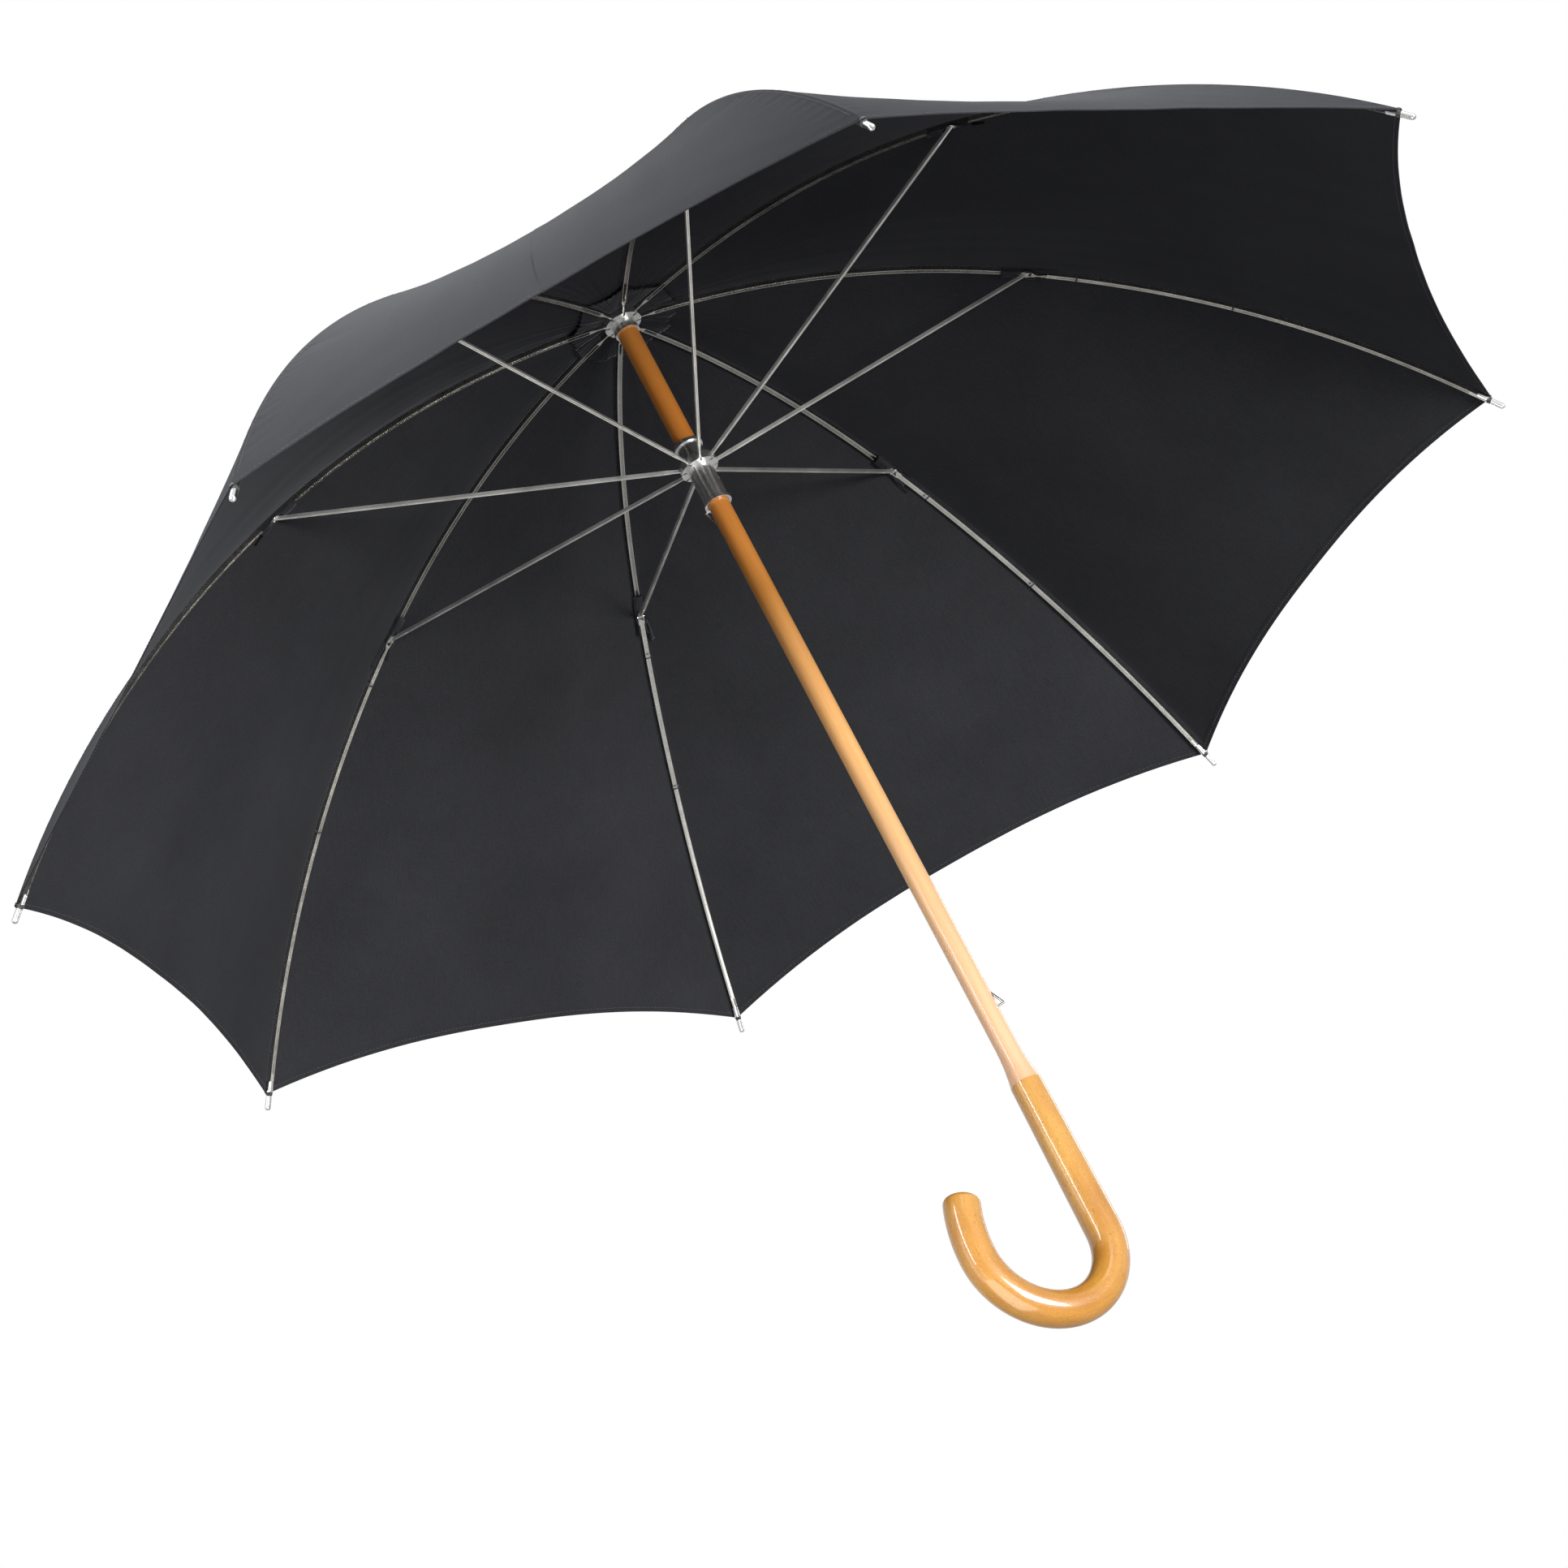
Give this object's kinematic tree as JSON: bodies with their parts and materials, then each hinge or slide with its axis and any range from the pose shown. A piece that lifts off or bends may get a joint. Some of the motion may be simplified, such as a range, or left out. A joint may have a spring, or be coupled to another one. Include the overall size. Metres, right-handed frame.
{
  "type": "stick umbrella",
  "caption": "Open stick umbrella: black cloth cover on hinged fluted ribs and stretchers, sliding runner on a wooden shaft, crook handle.",
  "frame": {"origin": "on the shaft's axis, where a hand holds the straight part of the handle", "axes": "+Z along the shaft towards the ferrule; +X the way the crook bends"},
  "size_m": [1.046, 1.046, 0.8831],
  "materials": {
    "wood_shaft": "satin varnished wood, darker towards the top",
    "wood_handle": "gloss lacquered honey-coloured wood",
    "bright_steel": "bright nickel plate",
    "rib_steel": "drawn fluted steel",
    "spring_steel": "spring wire",
    "canopy_cloth": "tightly woven black cloth"
  },
  "bodies": {
    "stick": {"shaft": "wood_shaft", "crook_handle": "wood_handle", "ferrule": "bright_steel", "top_cap": "bright_steel", "top_notch": "bright_steel", "notch_wire": "spring_steel", "notch_pin": "spring_steel", "spring_pins": "spring_steel"},
    "runner": {"runner_tube": "bright_steel", "runner_wire": "spring_steel"},
    "top_spring": {"top_spring": "spring_steel"},
    "hand_spring": {"hand_spring": "spring_steel"},
    "rib_1": {"inner_rib_1": "rib_steel", "joint_rivet_1": "rib_steel"},
    "rib_1_outer": {"outer_rib_1": "rib_steel", "rib_tip_1": "bright_steel", "canopy_sector_1": "canopy_cloth"},
    "stretcher_1": {"stretcher_1": "rib_steel"},
    "rib_2": {"inner_rib_2": "rib_steel", "joint_rivet_2": "rib_steel"},
    "rib_2_outer": {"outer_rib_2": "rib_steel", "rib_tip_2": "bright_steel", "canopy_sector_2": "canopy_cloth"},
    "stretcher_2": {"stretcher_2": "rib_steel"},
    "rib_3": {"inner_rib_3": "rib_steel", "joint_rivet_3": "rib_steel"},
    "rib_3_outer": {"outer_rib_3": "rib_steel", "rib_tip_3": "bright_steel", "canopy_sector_3": "canopy_cloth"},
    "stretcher_3": {"stretcher_3": "rib_steel"},
    "rib_4": {"inner_rib_4": "rib_steel", "joint_rivet_4": "rib_steel"},
    "rib_4_outer": {"outer_rib_4": "rib_steel", "rib_tip_4": "bright_steel", "canopy_sector_4": "canopy_cloth"},
    "stretcher_4": {"stretcher_4": "rib_steel"},
    "rib_5": {"inner_rib_5": "rib_steel", "joint_rivet_5": "rib_steel"},
    "rib_5_outer": {"outer_rib_5": "rib_steel", "rib_tip_5": "bright_steel", "canopy_sector_5": "canopy_cloth"},
    "stretcher_5": {"stretcher_5": "rib_steel"},
    "rib_6": {"inner_rib_6": "rib_steel", "joint_rivet_6": "rib_steel"},
    "rib_6_outer": {"outer_rib_6": "rib_steel", "rib_tip_6": "bright_steel", "canopy_sector_6": "canopy_cloth"},
    "stretcher_6": {"stretcher_6": "rib_steel"},
    "rib_7": {"inner_rib_7": "rib_steel", "joint_rivet_7": "rib_steel"},
    "rib_7_outer": {"outer_rib_7": "rib_steel", "rib_tip_7": "bright_steel", "canopy_sector_7": "canopy_cloth"},
    "stretcher_7": {"stretcher_7": "rib_steel"},
    "rib_8": {"inner_rib_8": "rib_steel", "joint_rivet_8": "rib_steel"},
    "rib_8_outer": {"outer_rib_8": "rib_steel", "rib_tip_8": "bright_steel", "canopy_sector_8": "canopy_cloth"},
    "stretcher_8": {"stretcher_8": "rib_steel"}
  },
  "joints": [
    {"name": "rib_1_fold", "type": "hinge", "parent": "stick", "child": "rib_1", "pos_m": [0.00377, 0.01139, 0.7], "axis": [-0.9494, 0.314, 0], "range_deg": [0, 71.42], "deforming": ["canopy_sector_1", "canopy_sector_2", "canopy_sector_3", "canopy_sector_4", "canopy_sector_5", "canopy_sector_6", "canopy_sector_7", "canopy_sector_8", "top_spring", "hand_spring"]},
    {"name": "rib_1_flex", "type": "hinge", "parent": "rib_1", "child": "rib_1_outer", "pos_m": [0.08953, 0.27072, 0.634], "axis": [-0.9494, 0.314, 0], "range_deg": [-18.64, 0]},
    {"name": "stretcher_1_swing", "type": "hinge", "parent": "rib_1", "child": "stretcher_1", "pos_m": [0.08953, 0.27072, 0.634], "axis": [-0.9494, 0.314, 0], "range_deg": [-142.83, 0]},
    {"name": "runner_travel", "type": "hinge", "parent": "stretcher_1", "child": "runner", "pos_m": [0.00377, 0.01139, 0.568], "axis": [-0.9494, 0.314, 0], "range_deg": [0, 71.42]},
    {"name": "rib_2_fold", "type": "hinge", "parent": "stick", "child": "rib_2", "pos_m": [-0.00539, 0.01072, 0.7], "axis": [-0.8934, -0.4493, 0], "range_deg": [0, 71.42]},
    {"name": "rib_2_flex", "type": "hinge", "parent": "rib_2", "child": "rib_2_outer", "pos_m": [-0.12812, 0.25473, 0.634], "axis": [-0.8934, -0.4493, 0], "range_deg": [-18.64, 0]},
    {"name": "stretcher_2_swing", "type": "hinge", "parent": "rib_2", "child": "stretcher_2", "pos_m": [-0.12812, 0.25473, 0.634], "axis": [-0.8934, -0.4493, 0], "range_deg": [-142.83, 0]},
    {"name": "rib_3_fold", "type": "hinge", "parent": "stick", "child": "rib_3", "pos_m": [-0.01139, 0.00377, 0.7], "axis": [-0.314, -0.9494, 0], "range_deg": [0, 71.42]},
    {"name": "rib_3_flex", "type": "hinge", "parent": "rib_3", "child": "rib_3_outer", "pos_m": [-0.27072, 0.08953, 0.634], "axis": [-0.314, -0.9494, 0], "range_deg": [-18.64, 0]},
    {"name": "stretcher_3_swing", "type": "hinge", "parent": "rib_3", "child": "stretcher_3", "pos_m": [-0.27072, 0.08953, 0.634], "axis": [-0.314, -0.9494, 0], "range_deg": [-142.83, 0]},
    {"name": "rib_4_fold", "type": "hinge", "parent": "stick", "child": "rib_4", "pos_m": [-0.01072, -0.00539, 0.7], "axis": [0.4493, -0.8934, 0], "range_deg": [0, 71.42]},
    {"name": "rib_4_flex", "type": "hinge", "parent": "rib_4", "child": "rib_4_outer", "pos_m": [-0.25473, -0.12812, 0.634], "axis": [0.4493, -0.8934, 0], "range_deg": [-18.64, 0]},
    {"name": "stretcher_4_swing", "type": "hinge", "parent": "rib_4", "child": "stretcher_4", "pos_m": [-0.25473, -0.12812, 0.634], "axis": [0.4493, -0.8934, 0], "range_deg": [-142.83, 0]},
    {"name": "rib_5_fold", "type": "hinge", "parent": "stick", "child": "rib_5", "pos_m": [-0.00377, -0.01139, 0.7], "axis": [0.9494, -0.314, 0], "range_deg": [0, 71.42]},
    {"name": "rib_5_flex", "type": "hinge", "parent": "rib_5", "child": "rib_5_outer", "pos_m": [-0.08953, -0.27072, 0.634], "axis": [0.9494, -0.314, 0], "range_deg": [-18.64, 0]},
    {"name": "stretcher_5_swing", "type": "hinge", "parent": "rib_5", "child": "stretcher_5", "pos_m": [-0.08953, -0.27072, 0.634], "axis": [0.9494, -0.314, 0], "range_deg": [-142.83, 0]},
    {"name": "rib_6_fold", "type": "hinge", "parent": "stick", "child": "rib_6", "pos_m": [0.00539, -0.01072, 0.7], "axis": [0.8934, 0.4493, 0], "range_deg": [0, 71.42]},
    {"name": "rib_6_flex", "type": "hinge", "parent": "rib_6", "child": "rib_6_outer", "pos_m": [0.12812, -0.25473, 0.634], "axis": [0.8934, 0.4493, 0], "range_deg": [-18.64, 0]},
    {"name": "stretcher_6_swing", "type": "hinge", "parent": "rib_6", "child": "stretcher_6", "pos_m": [0.12812, -0.25473, 0.634], "axis": [0.8934, 0.4493, 0], "range_deg": [-142.83, 0]},
    {"name": "rib_7_fold", "type": "hinge", "parent": "stick", "child": "rib_7", "pos_m": [0.01139, -0.00377, 0.7], "axis": [0.314, 0.9494, 0], "range_deg": [0, 71.42]},
    {"name": "rib_7_flex", "type": "hinge", "parent": "rib_7", "child": "rib_7_outer", "pos_m": [0.27072, -0.08953, 0.634], "axis": [0.314, 0.9494, 0], "range_deg": [-18.64, 0]},
    {"name": "stretcher_7_swing", "type": "hinge", "parent": "rib_7", "child": "stretcher_7", "pos_m": [0.27072, -0.08953, 0.634], "axis": [0.314, 0.9494, 0], "range_deg": [-142.83, 0]},
    {"name": "rib_8_fold", "type": "hinge", "parent": "stick", "child": "rib_8", "pos_m": [0.01072, 0.00539, 0.7], "axis": [-0.4493, 0.8934, 0], "range_deg": [0, 71.42]},
    {"name": "rib_8_flex", "type": "hinge", "parent": "rib_8", "child": "rib_8_outer", "pos_m": [0.25473, 0.12812, 0.634], "axis": [-0.4493, 0.8934, 0], "range_deg": [-18.64, 0]},
    {"name": "stretcher_8_swing", "type": "hinge", "parent": "rib_8", "child": "stretcher_8", "pos_m": [0.25473, 0.12812, 0.634], "axis": [-0.4493, 0.8934, 0], "range_deg": [-142.83, 0]},
    {"name": "top_spring_press", "type": "hinge", "parent": "stick", "child": "top_spring", "pos_m": [0.00242, -0.00209, 0.50865], "axis": [0.6534, 0.757, 0], "range_deg": [-11, 0], "stiffness_Nm_per_rad": 0.35},
    {"name": "hand_spring_press", "type": "hinge", "parent": "stick", "child": "hand_spring", "pos_m": [-0.00242, 0.00209, 0.12969], "axis": [-0.6534, -0.757, 0], "range_deg": [0, 14.5], "stiffness_Nm_per_rad": 0.35}
  ],
  "couplings": [
    {"joint": "rib_1_flex", "follows": "rib_1_fold", "ratio": -0.26103},
    {"joint": "stretcher_1_swing", "follows": "rib_1_fold", "ratio": -2},
    {"joint": "runner_travel", "follows": "rib_1_fold", "ratio": 1},
    {"joint": "rib_2_fold", "follows": "rib_1_fold", "ratio": 1},
    {"joint": "rib_2_flex", "follows": "rib_1_fold", "ratio": -0.26103},
    {"joint": "stretcher_2_swing", "follows": "rib_1_fold", "ratio": -2},
    {"joint": "rib_3_fold", "follows": "rib_1_fold", "ratio": 1},
    {"joint": "rib_3_flex", "follows": "rib_1_fold", "ratio": -0.26103},
    {"joint": "stretcher_3_swing", "follows": "rib_1_fold", "ratio": -2},
    {"joint": "rib_4_fold", "follows": "rib_1_fold", "ratio": 1},
    {"joint": "rib_4_flex", "follows": "rib_1_fold", "ratio": -0.26103},
    {"joint": "stretcher_4_swing", "follows": "rib_1_fold", "ratio": -2},
    {"joint": "rib_5_fold", "follows": "rib_1_fold", "ratio": 1},
    {"joint": "rib_5_flex", "follows": "rib_1_fold", "ratio": -0.26103},
    {"joint": "stretcher_5_swing", "follows": "rib_1_fold", "ratio": -2},
    {"joint": "rib_6_fold", "follows": "rib_1_fold", "ratio": 1},
    {"joint": "rib_6_flex", "follows": "rib_1_fold", "ratio": -0.26103},
    {"joint": "stretcher_6_swing", "follows": "rib_1_fold", "ratio": -2},
    {"joint": "rib_7_fold", "follows": "rib_1_fold", "ratio": 1},
    {"joint": "rib_7_flex", "follows": "rib_1_fold", "ratio": -0.26103},
    {"joint": "stretcher_7_swing", "follows": "rib_1_fold", "ratio": -2},
    {"joint": "rib_8_fold", "follows": "rib_1_fold", "ratio": 1},
    {"joint": "rib_8_flex", "follows": "rib_1_fold", "ratio": -0.26103},
    {"joint": "stretcher_8_swing", "follows": "rib_1_fold", "ratio": -2}
  ]
}
